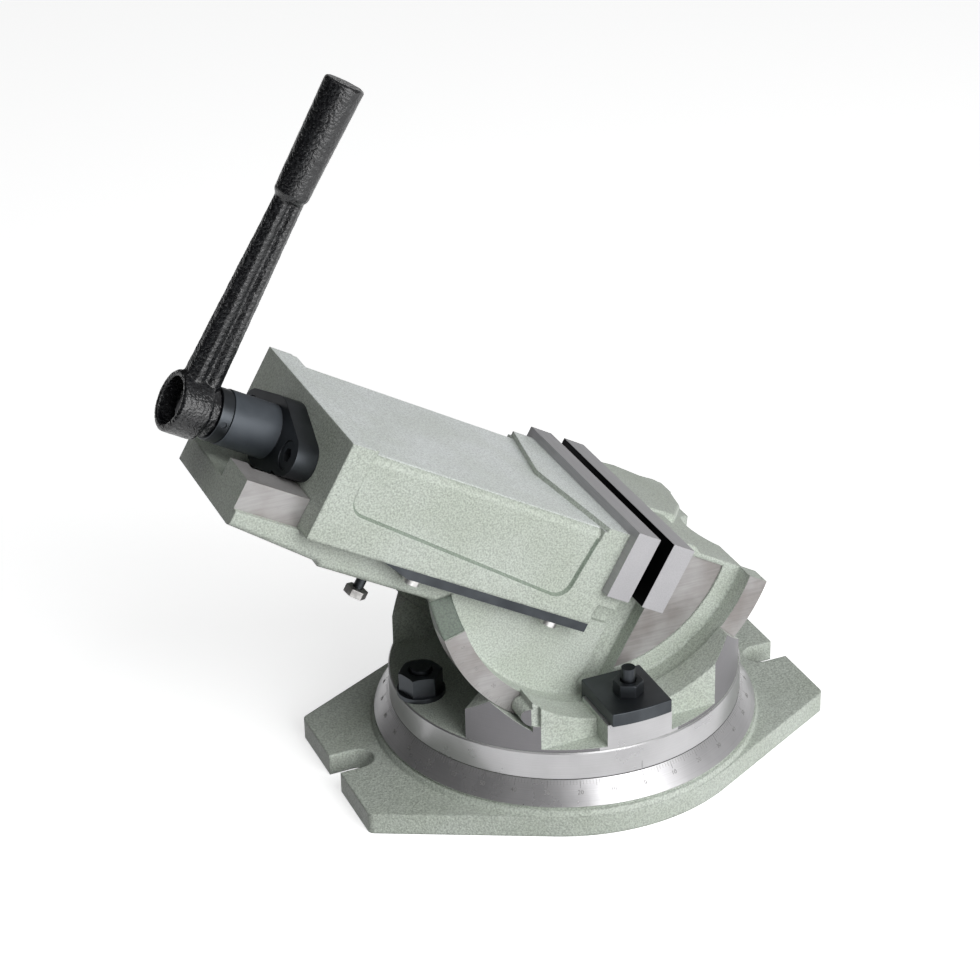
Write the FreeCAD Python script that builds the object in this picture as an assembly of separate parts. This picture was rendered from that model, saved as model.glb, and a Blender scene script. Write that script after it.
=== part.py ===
import FreeCAD, Part
import math
import os

os.makedirs("parts", exist_ok=True)
V = FreeCAD.Vector

# Millimetres, +Z up. The origin is the centre of the swivel, on the underside of the base.
# X runs along the base slots towards the fixed jaw. Y runs across the vise, near side at -Y.
# The vise proper is drawn level in its own axes about the tilt axis: u towards the fixed jaw,
# v across, n up. It is then turned by the tilt shown and lifted to the height of the axis.

# Tilt shown, and the height of the lowest line of the drum's seat
tilt_shown = 30.0
seat_low = 36.3

# Base
base_half_length = 124.0
lug_width = 93.0
plate_thk = 11.0
plate_border = 2.0
lug_corner_r = 4.0
slot_w = 16.0
slot_depth = 20.0
foot_rise = 2.6
cone_run = 8.0
cone_z = 15.2
swivel_r = 88.5
base_h = 25.5
pivot_r = 20.0
pivot_floor_z = 8.0
tee_inset = 11.0
tee_neck_w = 13.0
tee_w = 23.0
tee_neck_h = 10.0
tee_h = 8.5

# Running clearances
slide_gap = 0.1
bore_gap = 0.05
arc_gap = 0.4
side_gap = 0.3

# Turntable
floor_z = 40.0
spigot_h = 15.0
cheek_inner = 47.5
cheek_end_z = 55.3
cheek_inset = 0.8
horn_h = 28.0
flange_rim = 9.3
flange_bite = 1.5
flange_side = 57.7
lip_over = 1.5
pocket_depth = 13.2
pocket_floor = 41.6
pad_half = 17.0
pad_z = 53.4
notch_end_x = -49.5
notch_end_r = 4.6
notch_boss_in = 2.5

# Swivel clamp bolts
swivel_bolt_d = 12.0
swivel_hole_d = 13.0
tee_head_w = 20.0
tee_head_h = 7.0
swivel_nut_af = 19.0
swivel_nut_h = 10.0
swivel_washer_d = 24.0
swivel_washer_h = 2.5
swivel_bolt_stand = 1.8

# Tilt clamps
clamp_half = 15.7
clamp_thk = 7.0
clamp_reach = 53.5
clamp_over = 1.5
stud_d = 8.0
stud_depth = 9.0
tilt_nut_af = 13.0
tilt_nut_h = 6.8
tilt_nut_turn = 34.0
stud_stand = 7.0
stud_hole_gap = 0.5

# Bed and drum
drum_r = 81.0
web_side = 46.9
drum_fillet = 1.5
flange_start = 215.0
flange_machined = 225.8
flange_stub_sink = 0.8
deck_n = 11.0
deck_dent_r = 18.3
deck_dent_u = 86.8
deck_dent_v = -6.0
deck_dent_n = -9.0
wall_end_u = 23.5
rib_start_u = 39.5
channel_side = 38.0
channel_bottom_n = -70.0
face_depth = 0.9
face_r = 70.0
face_top_n = 8.5
bed_end_u = -185.0
bed_end_n = -45.0
bed_knee_u = -137.0
bed_knee_n = -49.7
bed_bottom_n = -51.8
bed_edge_r = 3.0
bed_corner_v = 25.5
bed_corner_len = 11.0
way_side = 44.0
way_n = -23.0
shoulder_n = -37.2
bed_slot_half = 25.5
bed_slot_n = -32.0
bed_slot_end_u = 8.0
bed_mouth_half = 20.0
bed_mouth_len = 9.0
boss_top_n = 15.0

# Jaws
jaw_width = 125.0
jaw_top_n = 15.4
jaw_height = 34.4
fixed_face_u = 25.3
jaw_open = 8.3
fixed_plate_thk = 12.7
moving_plate_thk = 13.0
jaw_screw_v = 32.0
jaw_screw_d = 8.0
jaw_screw_head_d = 13.0
jaw_screw_head_h = 8.0
jaw_screw_in = 16.0
jaw_screw_socket = 6.0

# Slide
slide_len = 156.5
slide_side = 56.7
slide_top_n = 11.4
slide_bottom_n = -36.8
top_sink = 2.3
end_band = 14.5
chevron_side = 12.0
chevron_mid = 26.4
panel_sink = 1.8
shoulder_r = 4.5
cavity_half = 17.0
cavity_top_n = 3.5
end_wall = 14.0
jaw_wall = 10.0
toe_drop = 2.0
foot_len = 12.8
foot_h = 7.6

# Guide strips under the slide
strip_len = 117.0
strip_thk = 4.5
strip_bevel = 15.0
strip_screw_u = (-91.0, -12.0)
strip_screw_d = 5.0
strip_head_d = 9.0
strip_head_h = 2.6
strip_screw_in = 9.0

# Screw, its bearing, collar and nut
screw_n = -12.0
screw_r = 9.0
screw_end_u = -13.0
shoulder_len = 5.0
thrust_r = 11.5
bearing_thk = 11.0
barrel_r = 13.0
barrel_len = 24.5
lobe_v = 26.0
lobe_r = 10.0
bearing_body_r = 17.5
bearing_screw_d = 8.0
bearing_head_d = 13.0
bearing_head_h = 8.0
bearing_screw_in = 12.0
collar_r = 12.6
collar_len = 6.0
collar_pin_d = 3.0
nut_u = -93.5
nut_len = 23.0
nut_boss_len = 19.0
nut_boss_back = 3.0
nut_boss_half = 13.4
nut_boss_top_n = 1.6
nut_flange_n = -26.0
nut_bolt_v = 17.0
nut_bolt_d = 6.0
nut_bolt_hole_d = 6.6
nut_bolt_af = 10.0
nut_bolt_head_h = 4.0
nut_bolt_stand = 14.0

# Crank
hub_r = 14.6
hub_len = 20.3
hub_neck_r = 11.8
hub_neck_len = 5.0
hub_bore_r = 11.2
hub_bore_depth = 10.0
square_af = 14.0
square_stand = 2.0
arm_top = 106.5
arm_len_u = 18.0
arm_len_u_top = 13.4
arm_width = 13.0
arm_width_top = 9.5
arm_flute = 2.2
arm_inset = 1.0
grip_start_r = 8.2
grip_end_r = 9.5
grip_top = 161.5
grip_rim = 0.8

# Sizes that follow from the ones above
cone_r = swivel_r + cone_run
plate_r = cone_r + plate_border
tee_pitch_r = swivel_r - tee_inset
cheek_r = swivel_r - cheek_inset
clamp_r = swivel_r + clamp_over
pocket_side = cheek_r - pocket_depth
horn_rise = pad_z + horn_h
flange_r = drum_r + flange_rim
flange_inner_r = drum_r - flange_bite
lip_r = flange_inner_r - lip_over
seat_r = flange_r + arc_gap
tilt_axis_z = seat_low + seat_r
lip_side = flange_side + side_gap
stud_y = (lip_side + swivel_r) / 2
turn_z = base_h + slide_gap
moving_face_u = fixed_face_u - jaw_open
slide_jaw_u = moving_face_u - moving_plate_thk
slide_end_u = slide_jaw_u - slide_len
jaw_bottom_n = jaw_top_n - jaw_height
jaw_screw_n = jaw_top_n - jaw_height / 2
fixed_back_u = fixed_face_u + fixed_plate_thk
slide_under_n = way_n + slide_gap
slide_inner = way_side + slide_gap
strip_inner = web_side + arc_gap
strip_v = (strip_inner + slide_side) / 2
bearing_face_u = slide_end_u - bearing_thk
barrel_end_u = bearing_face_u - barrel_len
collar_end_u = barrel_end_u - slide_gap - collar_len
hub_in_u = collar_end_u - slide_gap
hub_out_u = hub_in_u - hub_len
arm_u = hub_out_u + arm_len_u / 2 + arm_inset
clamp_top_z = pad_z + clamp_thk


# Shape helpers
def box(x0, x1, y0, y1, z0, z1):
    return Part.makeBox(x1 - x0, y1 - y0, z1 - z0, V(x0, y0, z0))


def rod(r, start, direction, length):
    return Part.makeCylinder(r, length, start, direction)


def face_of(points):
    return Part.Face(Part.makePolygon([V(*p) for p in points] + [V(*points[0])]))


def prism_y(points, y0, y1):
    outline = face_of([(p[0], y0, p[1]) for p in points])
    return outline.extrude(V(0, y1 - y0, 0))


def prism_x(points, x0, x1):
    outline = face_of([(x0, p[0], p[1]) for p in points])
    return outline.extrude(V(x1 - x0, 0, 0))


def turned(points, axis):
    if axis == "z":
        outline = face_of([(p[0], 0, p[1]) for p in points])
        return outline.revolve(V(0, 0, 0), V(0, 0, 1), 360)
    outline = face_of([(p[0], p[1], 0) for p in points])
    return outline.revolve(V(0, 0, 0), V(0, 1, 0), 360)


def mirror_y(shape):
    return shape.mirror(V(0, 0, 0), V(0, 1, 0))


def both(shape):
    return [shape, mirror_y(shape)]


def fuse(shapes):
    return shapes[0].multiFuse(shapes[1:]).removeSplitter()


def hexagon(af, start, direction, length, turn=0.0):
    corner_r = af / math.sqrt(3)
    points = []
    for i in range(6):
        a = math.radians(60 * i + turn)
        points.append(V(corner_r * math.cos(a), corner_r * math.sin(a), 0))
    bar = Part.Face(Part.makePolygon(points + [points[0]])).extrude(V(0, 0, length))
    cut = 0.12 * af
    crown = Part.makeCone(corner_r + 1.7 * (length - 0.06 * af), corner_r - 0.06 * af, length)
    crown = bar.common(crown)
    crown.Placement = FreeCAD.Placement(start, FreeCAD.Rotation(V(0, 0, 1), direction))
    return crown if cut < length else bar


def round_prism_y(points, radius, y0, y1):
    solid = prism_y(points, y0, y1)
    upright = [e for e in solid.Edges if abs(e.Length - (y1 - y0)) < 1e-6 and len(e.Vertexes) == 2
               and abs(e.Vertexes[0].Y - e.Vertexes[1].Y) > 1e-6]
    return solid.makeFillet(radius, upright)


def tilted(shape):
    moved = shape.copy()
    moved.rotate(V(0, 0, 0), V(0, 1, 0), tilt_shown)
    moved.translate(V(0, 0, tilt_axis_z))
    return moved


def write(name, shapes):
    solids = []
    for s in shapes:
        solids += s.Solids
    body = solids[0] if len(solids) == 1 else Part.makeCompound(solids)
    body.exportStep("parts/" + name + ".step")


# Base casting: a round plate with two slotted lugs, and the ring with the swivel scale cone
reach = math.hypot(base_half_length, lug_width / 2)
tangent = math.atan2(lug_width / 2, base_half_length) + math.acos(plate_r / reach)
tx = plate_r * math.cos(tangent)
ty = plate_r * math.sin(tangent)
half = lug_width / 2
corners = [V(base_half_length, -half, 0), V(base_half_length, half, 0), V(tx, ty, 0),
           V(-tx, ty, 0), V(-base_half_length, half, 0), V(-base_half_length, -half, 0),
           V(-tx, -ty, 0), V(tx, -ty, 0)]
edges = [Part.makeLine(corners[0], corners[1]), Part.makeLine(corners[1], corners[2]),
         Part.Arc(corners[2], V(0, plate_r, 0), corners[3]).toShape(),
         Part.makeLine(corners[3], corners[4]), Part.makeLine(corners[4], corners[5]),
         Part.makeLine(corners[5], corners[6]),
         Part.Arc(corners[6], V(0, -plate_r, 0), corners[7]).toShape(),
         Part.makeLine(corners[7], corners[0])]
base = Part.Face(Part.Wire(edges)).extrude(V(0, 0, plate_thk))
lug_edges = [e for e in base.Edges if len(e.Vertexes) == 2
             and abs(e.Vertexes[0].Z - e.Vertexes[1].Z) > 1
             and abs(abs(e.Vertexes[0].X) - base_half_length) < 1e-6]
base = base.makeFillet(lug_corner_r, lug_edges)
foot_z = plate_thk + foot_rise
groove_z = (foot_z + cone_z) / 2
ring = turned([(0, 0), (plate_r - 2, 0), (plate_r - 0.4, plate_thk),
               (plate_r - 1.4, foot_z), (cone_r - 0.9, foot_z), (cone_r - 0.9, groove_z),
               (cone_r, cone_z), (swivel_r, base_h), (0, base_h)], "z")
base = base.fuse(ring).removeSplitter()
base = base.cut(rod(pivot_r + bore_gap, V(0, 0, pivot_floor_z), V(0, 0, 1), base_h))
neck_z = base_h - tee_neck_h
tee = turned([(tee_pitch_r - tee_neck_w / 2, base_h + 1), (tee_pitch_r + tee_neck_w / 2, base_h + 1),
              (tee_pitch_r + tee_neck_w / 2, neck_z), (tee_pitch_r + tee_w / 2, neck_z),
              (tee_pitch_r + tee_w / 2, neck_z - tee_h), (tee_pitch_r - tee_w / 2, neck_z - tee_h),
              (tee_pitch_r - tee_w / 2, neck_z), (tee_pitch_r - tee_neck_w / 2, neck_z)], "z")
base = base.cut(tee)
base = base.cut(rod(tee_w / 2 + 0.5, V(0, tee_pitch_r, neck_z - tee_h), V(0, 0, 1), base_h))
slot_end = base_half_length - slot_depth + slot_w / 2
for side in (1, -1):
    mouth = sorted([side * slot_end, side * (base_half_length + 1)])
    base = base.cut(box(mouth[0], mouth[1], -slot_w / 2, slot_w / 2, -1, base_h))
    base = base.cut(rod(slot_w / 2, V(side * slot_end, 0, -1), V(0, 0, 1), plate_thk + 2))
write("base_casting", [base])

# Turntable casting: swivel disc with spigot, and two cheeks that carry the drum on an arc
disc = rod(swivel_r, V(0, 0, turn_z), V(0, 0, 1), floor_z - turn_z)
disc = disc.makeChamfer(0.6, [e for e in disc.Edges if e.CenterOfMass.z > floor_z - 0.01])
disc = disc.fuse(rod(pivot_r, V(0, 0, turn_z - spigot_h), V(0, 0, 1), spigot_h + 1))
horn_x = math.sqrt(swivel_r ** 2 - cheek_inner ** 2)
cheek_outline = [(-horn_x - 1, turn_z + 1), (-horn_x - 1, cheek_end_z - 1),
                 (-horn_x - 1 + horn_rise - cheek_end_z, horn_rise - 1),
                 (horn_x + 1 - horn_rise + cheek_end_z, horn_rise - 1),
                 (horn_x + 1, cheek_end_z - 1), (horn_x + 1, turn_z + 1)]
cheek = prism_y(cheek_outline, -swivel_r - 1, -cheek_inner)
cheek = cheek.cut(rod(lip_r, V(0, -swivel_r - 2, tilt_axis_z), V(0, 1, 0), swivel_r + 2))
pad = box(-pad_half, pad_half, -swivel_r - 1, -lip_side, floor_z - 1, pad_z)
cheek = cheek.fuse(pad)
cheek = cheek.common(rod(cheek_r, V(0, 0, 0), V(0, 0, 1), tilt_axis_z))
for x0, x1 in ((-swivel_r, -pad_half), (pad_half, swivel_r)):
    cheek = cheek.cut(box(x0, x1, -swivel_r - 1, -pocket_side, pocket_floor, tilt_axis_z))
far_cheek = mirror_y(cheek)
notch_z = tilt_axis_z - math.sqrt(((lip_r + seat_r) / 2) ** 2 - notch_end_x ** 2)
notch = box(-swivel_r, notch_end_x, -swivel_r - 1, -lip_side + 1, turn_z, tilt_axis_z)
notch = notch.common(rod(seat_r, V(0, -swivel_r - 2, tilt_axis_z), V(0, 1, 0), swivel_r + 2))
notch = notch.cut(rod(notch_end_r, V(notch_end_x, -swivel_r - 2, notch_z), V(0, 1, 0), swivel_r + 2))
cheek = cheek.cut(notch)
pocket_x = math.sqrt(cheek_r ** 2 - pocket_side ** 2)
cheek = cheek.cut(box(notch_end_x - notch_end_r - 1, -pocket_x, -swivel_r - 1, notch_boss_in - pocket_side,
                      notch_z - notch_end_r, tilt_axis_z))
turntable = fuse([disc, cheek, far_cheek])
seat = rod(seat_r, V(0, -lip_side, tilt_axis_z), V(0, 1, 0), 2 * lip_side)
turntable = turntable.cut(seat)
for side in (1, -1):
    turntable = turntable.cut(rod(swivel_hole_d / 2, V(side * tee_pitch_r, 0, 0), V(0, 0, 1), floor_z + 5))
    turntable = turntable.cut(rod(stud_d / 2, V(0, side * stud_y, pad_z - stud_depth), V(0, 0, 1),
                                  stud_depth + 1))
write("turntable_casting", [turntable])

# Swivel clamps: two T-bolts in the ring slot, each with a washer and a hexagon nut
tee_bolts = []
washers = []
swivel_nuts = []
nut_z = floor_z + swivel_washer_h
for side in (1, -1):
    x = side * tee_pitch_r
    head_z = neck_z - 2 * slide_gap - tee_head_h
    head = box(x - tee_head_w / 2, x + tee_head_w / 2, -tee_head_w / 2, tee_head_w / 2,
               head_z, head_z + tee_head_h)
    bolt_top = nut_z + swivel_nut_h + swivel_bolt_stand
    shank = rod(swivel_bolt_d / 2, V(x, 0, head_z + 1), V(0, 0, 1), bolt_top - head_z - 1)
    tee_bolts.append(head.fuse(shank).removeSplitter())
    ring = rod(swivel_washer_d / 2, V(x, 0, floor_z), V(0, 0, 1), swivel_washer_h)
    washers.append(ring.cut(rod(swivel_hole_d / 2, V(x, 0, floor_z - 1), V(0, 0, 1), 9)))
    nut = hexagon(swivel_nut_af, V(x, 0, nut_z), V(0, 0, 1), swivel_nut_h, 12 * side)
    swivel_nuts.append(nut.cut(rod(swivel_bolt_d / 2, V(x, 0, nut_z - 1), V(0, 0, 1), swivel_nut_h + 2)))
write("swivel_t_bolts", tee_bolts)
write("swivel_washers", washers)
write("swivel_nuts", swivel_nuts)

# Tilt clamps: a plate on each machined pad whose toe presses the drum flange from above
clamp = box(-clamp_half, clamp_half, -clamp_r - 1, -clamp_reach, pad_z, clamp_top_z)
clamp = clamp.common(rod(clamp_r, V(0, 0, 0), V(0, 0, 1), tilt_axis_z))
toe = box(-clamp_half, clamp_half, -lip_side + side_gap, -clamp_reach, pad_z - 12, pad_z + 1)
toe = toe.common(rod(flange_inner_r - side_gap, V(0, -swivel_r, tilt_axis_z), V(0, 1, 0), swivel_r))
clamp = clamp.fuse(toe).removeSplitter()
clamp = clamp.cut(rod(stud_d / 2 + stud_hole_gap, V(0, -stud_y, 0), V(0, 0, 1), tilt_axis_z))
write("tilt_clamp_near", [clamp])
write("tilt_clamp_far", [mirror_y(clamp)])
stud_foot = pad_z - stud_depth
stud_top = clamp_top_z + tilt_nut_h + stud_stand
stud = rod(stud_d / 2, V(0, -stud_y, stud_foot), V(0, 0, 1), stud_top - stud_foot)
stud_end = [e for e in stud.Edges if len(e.Vertexes) == 1 and e.CenterOfMass.z > stud_top - 0.01]
write("tilt_studs", both(stud.makeChamfer(1.0, stud_end)))
tilt_nut = hexagon(tilt_nut_af, V(0, -stud_y, clamp_top_z), V(0, 0, 1), tilt_nut_h, tilt_nut_turn)
tilt_nut = tilt_nut.cut(rod(stud_d / 2, V(0, -stud_y, clamp_top_z - 1), V(0, 0, 1), tilt_nut_h + 2))
write("tilt_nuts", both(tilt_nut))

# Bed casting: drum with two seat flanges, the bed with its ways, and the fixed jaw block
core_outline = [(-drum_r - 4, bed_bottom_n + 3), (wall_end_u, bed_bottom_n + 3), (wall_end_u, deck_n),
                (drum_r + 4, deck_n), (drum_r + 4, -drum_r - 4), (-drum_r - 4, -drum_r - 4)]
core = rod(drum_r, V(0, -web_side, 0), V(0, 1, 0), 2 * web_side)
core = core.common(prism_y(core_outline, -web_side, web_side))
start = math.radians(flange_start)
far = flange_r + 12
flange_outline = [(0, 0), (far * math.cos(start), far * math.sin(start)), (-far, -far),
                  (far, -far), (far, deck_n), (0, deck_n)]
f = drum_fillet
s = f * (1 - math.sqrt(0.5))
flange = turned([(flange_inner_r - f, -web_side), (flange_inner_r - s, -web_side - s),
                 (flange_inner_r, -web_side - f), (flange_inner_r, -flange_side),
                 (flange_r, -flange_side), (flange_r, -web_side + 1),
                 (flange_inner_r - f, -web_side + 1)], "y")
flange = flange.common(prism_y(flange_outline, -flange_side, -web_side + 1))
border = math.radians(flange_machined)
stub_outline = [(0, 0), (far * math.cos(border), far * math.sin(border)), (-far, -far), (-far, 0)]
flange = flange.cut(prism_y(stub_outline, -flange_side - 1, -flange_side + flange_stub_sink))
strip_sweep_n = slide_bottom_n - strip_thk - strip_head_h - slide_gap
flange = flange.cut(box(-far, fixed_back_u - 1, -flange_side - 1, -web_side, strip_sweep_n, 0))
bed_outline = [(bed_end_u, shoulder_n), (bed_end_u, bed_end_n), (bed_knee_u, bed_knee_n),
               (bed_knee_u + 2.5, bed_bottom_n), (wall_end_u, bed_bottom_n), (wall_end_u, shoulder_n)]
lower_bed = prism_y(bed_outline, -web_side, web_side)
lower_edges = [e for e in lower_bed.Edges if max(v.Z for v in e.Vertexes) < bed_end_n + 0.01
               and abs(e.Vertexes[0].Y - e.Vertexes[-1].Y) < 0.01]
lower_bed = lower_bed.makeFillet(bed_edge_r, lower_edges)
ways = box(bed_end_u, fixed_back_u, -way_side, way_side, shoulder_n - 1, way_n)
rib_block = prism_y([(fixed_back_u, way_n - 2), (fixed_back_u, deck_n), (drum_r * 0.9, deck_n),
                     (drum_r * 0.8, bed_bottom_n), (rib_start_u, bed_bottom_n)], -web_side, web_side)
rib_block = rib_block.common(rod(drum_r, V(0, -web_side, 0), V(0, 1, 0), 2 * web_side))
jaw_block = round_prism_y([(fixed_back_u, way_n - 10), (fixed_back_u, jaw_top_n - 1.8),
                           (fixed_back_u + 11, jaw_top_n - 1.8), (fixed_back_u + 17, deck_n - 1),
                           (fixed_back_u + 17, way_n - 10)], 0.8, -web_side, web_side)
under = prism_y([(wall_end_u - 1, channel_bottom_n), (wall_end_u - 1, shoulder_n + 1),
                 (fixed_back_u + 2, shoulder_n + 1), (fixed_back_u + 2, channel_bottom_n)],
                -channel_side, channel_side)
boss_outline = [(fixed_back_u - 0.2, -12), (57.5, -11), (74, 12), (80.5, 36), (76, 46), (64, 43.5),
                (48, 46.5), (fixed_back_u - 0.2, 44)]
boss = face_of([(p[0], p[1], deck_n - 4) for p in boss_outline]).extrude(V(0, 0, boss_top_n - deck_n + 4))
boss_upright = [e for e in boss.Edges if abs(e.Vertexes[0].Z - e.Vertexes[-1].Z) > 1
                and e.Vertexes[0].X > fixed_back_u + 5]
boss = boss.makeFillet(4.0, boss_upright)
boss_rim = [e for e in boss.Edges if min(v.Z for v in e.Vertexes) > boss_top_n - 0.01
            and max(v.X for v in e.Vertexes) > fixed_back_u + 5]
boss = boss.makeFillet(2.2, boss_rim)
bed = fuse([core, flange, mirror_y(flange), lower_bed, ways, rib_block, jaw_block, under])
dent_low_r = deck_dent_r - 0.5 * (deck_n - deck_dent_n)
dent = Part.makeCone(dent_low_r, deck_dent_r, deck_n - deck_dent_n, V(deck_dent_u, deck_dent_v, deck_dent_n))
bed = bed.cut(dent).fuse(boss.cut(dent)).removeSplitter()
channel = box(wall_end_u, rib_start_u, channel_side, flange_side, channel_bottom_n, way_n + 1)
channel = channel.common(rod(flange_inner_r, V(0, 0, 0), V(0, 1, 0), flange_side + 1))
bed = bed.cut(channel).cut(mirror_y(channel))
jaw_gap = box(wall_end_u - 1, fixed_back_u, -flange_side, flange_side, way_n, drum_r)
bed = bed.cut(jaw_gap)
machined = rod(face_r, V(0, web_side - face_depth, 0), V(0, 1, 0), face_depth)
machined = machined.common(box(rib_start_u - 1, face_r, 0, web_side + 1, -face_r, face_top_n))
bed = bed.cut(machined).cut(mirror_y(machined))
bed = bed.cut(box(bed_end_u + bed_mouth_len, bed_slot_end_u, -bed_slot_half, bed_slot_half,
                  bed_slot_n, way_n + 1))
bed = bed.cut(box(bed_end_u - 1, bed_slot_end_u, -bed_mouth_half, bed_mouth_half, bed_slot_n, way_n + 1))
end_corner = [(bed_end_u, bed_corner_v), (bed_end_u + bed_corner_len, web_side),
              (bed_end_u + bed_corner_len, web_side + 5), (bed_end_u - 1, web_side + 5),
              (bed_end_u - 1, bed_corner_v)]
end_corner = face_of([(p[0], p[1], bed_bottom_n - 1) for p in end_corner])
bed = bed.cut(end_corner.extrude(V(0, 0, way_n - bed_bottom_n + 2)))
for side in (1, -1):
    bed = bed.cut(rod(nut_bolt_hole_d / 2, V(nut_u, side * nut_bolt_v, bed_bottom_n - 5), V(0, 0, 1),
                      bed_slot_n - bed_bottom_n + 6))
    bed = bed.cut(rod(jaw_screw_d / 2, V(fixed_back_u - 1, side * jaw_screw_v, jaw_screw_n), V(1, 0, 0),
                      jaw_screw_in + 1))
write("bed_casting", [tilted(bed)])


# Jaw plates with counterbored screws
def jaw_plate(face_u, back_u):
    plate = box(min(face_u, back_u), max(face_u, back_u), -jaw_width / 2, jaw_width / 2,
                jaw_bottom_n, jaw_top_n)
    out = 1 if back_u > face_u else -1
    for side in (1, -1):
        start = V(face_u - out, side * jaw_screw_v, jaw_screw_n)
        plate = plate.cut(rod(jaw_screw_d / 2 + 0.4, start, V(out, 0, 0), abs(back_u - face_u) + 2))
        plate = plate.cut(rod(jaw_screw_head_d / 2 + 0.3, start, V(out, 0, 0), jaw_screw_head_h + 1.5))
    return plate


def jaw_screws(face_u, back_u):
    out = 1 if back_u > face_u else -1
    screws = []
    for side in (1, -1):
        start = V(face_u + out * 0.5, side * jaw_screw_v, jaw_screw_n)
        length = abs(back_u - face_u) - 0.5 + jaw_screw_in
        head = rod(jaw_screw_head_d / 2, start, V(out, 0, 0), jaw_screw_head_h)
        head = head.fuse(rod(jaw_screw_d / 2, start, V(out, 0, 0), length))
        head = head.cut(hexagon(jaw_screw_socket, start - V(out, 0, 0), V(out, 0, 0), 5.0))
        screws.append(tilted(head.removeSplitter()))
    return screws


write("fixed_jaw_plate", [tilted(jaw_plate(fixed_face_u, fixed_back_u))])
write("fixed_jaw_screws", jaw_screws(fixed_face_u, fixed_back_u))
write("moving_jaw_plate", [tilted(jaw_plate(moving_face_u, slide_jaw_u))])
write("moving_jaw_screws", jaw_screws(moving_face_u, slide_jaw_u))

# Screw nut: a block on the floor of the bed slot, held by two long bolts from below
nut_left = nut_u - nut_len / 2
nut = box(nut_left, nut_left + nut_len, -bed_slot_half + 0.5, bed_slot_half - 0.5,
          bed_slot_n, nut_flange_n)
boss_left = nut_left - nut_boss_back
nut = nut.fuse(box(boss_left, boss_left + nut_boss_len, -nut_boss_half, nut_boss_half,
                   nut_flange_n - 1, nut_boss_top_n)).removeSplitter()
nut = nut.cut(rod(screw_r + bore_gap, V(boss_left - 1, 0, screw_n), V(1, 0, 0),
                  nut_len + nut_boss_back + 2))
nut_bolts = []
for side in (1, -1):
    foot = V(nut_u, side * nut_bolt_v, bed_bottom_n - nut_bolt_stand)
    nut = nut.cut(rod(nut_bolt_d / 2, foot, V(0, 0, 1), nut_flange_n - 1.0 - foot.z))
    bolt = rod(nut_bolt_d / 2, foot, V(0, 0, 1), nut_flange_n - 1.0 - foot.z)
    bolt = bolt.fuse(hexagon(nut_bolt_af, foot, V(0, 0, -1), nut_bolt_head_h, 10))
    nut_bolts.append(tilted(bolt.removeSplitter()))
write("screw_nut", [tilted(nut)])
write("nut_bolts", nut_bolts)

# Slide casting: the moving jaw, a hollow saddle that straddles the ways
slide = box(slide_end_u, slide_jaw_u, -slide_side, slide_side, slide_bottom_n, slide_top_n)
foot_top = jaw_bottom_n - slide_gap
slide = slide.fuse(box(slide_jaw_u - 1, slide_jaw_u + toe_drop, -slide_side, slide_side,
                       slide_bottom_n, foot_top))
slide = slide.fuse(box(slide_jaw_u - 1, slide_jaw_u + foot_len, -slide_side, slide_side,
                       foot_top - foot_h, foot_top)).removeSplitter()
band_u = slide_end_u + end_band
sink = [(band_u, -slide_side - 1), (slide_jaw_u - chevron_side, -slide_side - 1),
        (slide_jaw_u - chevron_mid, 0), (slide_jaw_u - chevron_side, slide_side + 1),
        (band_u, slide_side + 1)]
sink = face_of([(p[0], p[1], slide_top_n - top_sink) for p in sink]).extrude(V(0, 0, 5))
slide = slide.cut(sink)
panel_side = slide_side - panel_sink
panel_end_u = slide_jaw_u - chevron_side
panel = round_prism_y([(band_u - 3.5, slide_top_n + 20), (band_u, -18.5), (slide_jaw_u - 18, -28.0),
                       (panel_end_u - 1, slide_top_n + 20)], 7.0, panel_side, slide_side + 1)
slide = slide.cut(panel).cut(mirror_y(panel))
soft_n = slide_top_n - top_sink - shoulder_r
soft_v = panel_side - shoulder_r
soft = box(band_u, panel_end_u - 2, soft_v, slide_side + 1, soft_n, slide_top_n)
soft = soft.cut(rod(shoulder_r, V(slide_end_u, soft_v, soft_n), V(1, 0, 0), slide_len))
slide = slide.cut(soft).cut(mirror_y(soft))
slide = slide.cut(box(slide_end_u - 1, fixed_back_u, -slide_inner, slide_inner,
                      slide_bottom_n - 1, slide_under_n))
slide = slide.cut(box(slide_end_u + end_wall, slide_jaw_u - jaw_wall, -cavity_half, cavity_half,
                      slide_under_n - 1, cavity_top_n))
slide = slide.cut(rod(screw_r + 0.5, V(slide_end_u - 1, 0, screw_n), V(1, 0, 0), end_wall + 2))
for side in (1, -1):
    slide = slide.cut(rod(bearing_screw_d / 2, V(slide_end_u - 1, side * lobe_v, screw_n), V(1, 0, 0),
                          bearing_screw_in + 1))
    slide = slide.cut(rod(jaw_screw_d / 2, V(slide_jaw_u + 1, side * jaw_screw_v, jaw_screw_n),
                          V(-1, 0, 0), jaw_screw_in + 1))
    for u in strip_screw_u:
        slide = slide.cut(rod(strip_screw_d / 2, V(u, side * strip_v, slide_bottom_n - 1), V(0, 0, 1),
                              strip_screw_in - strip_thk + 1))
write("slide_casting", [tilted(slide)])

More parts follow.
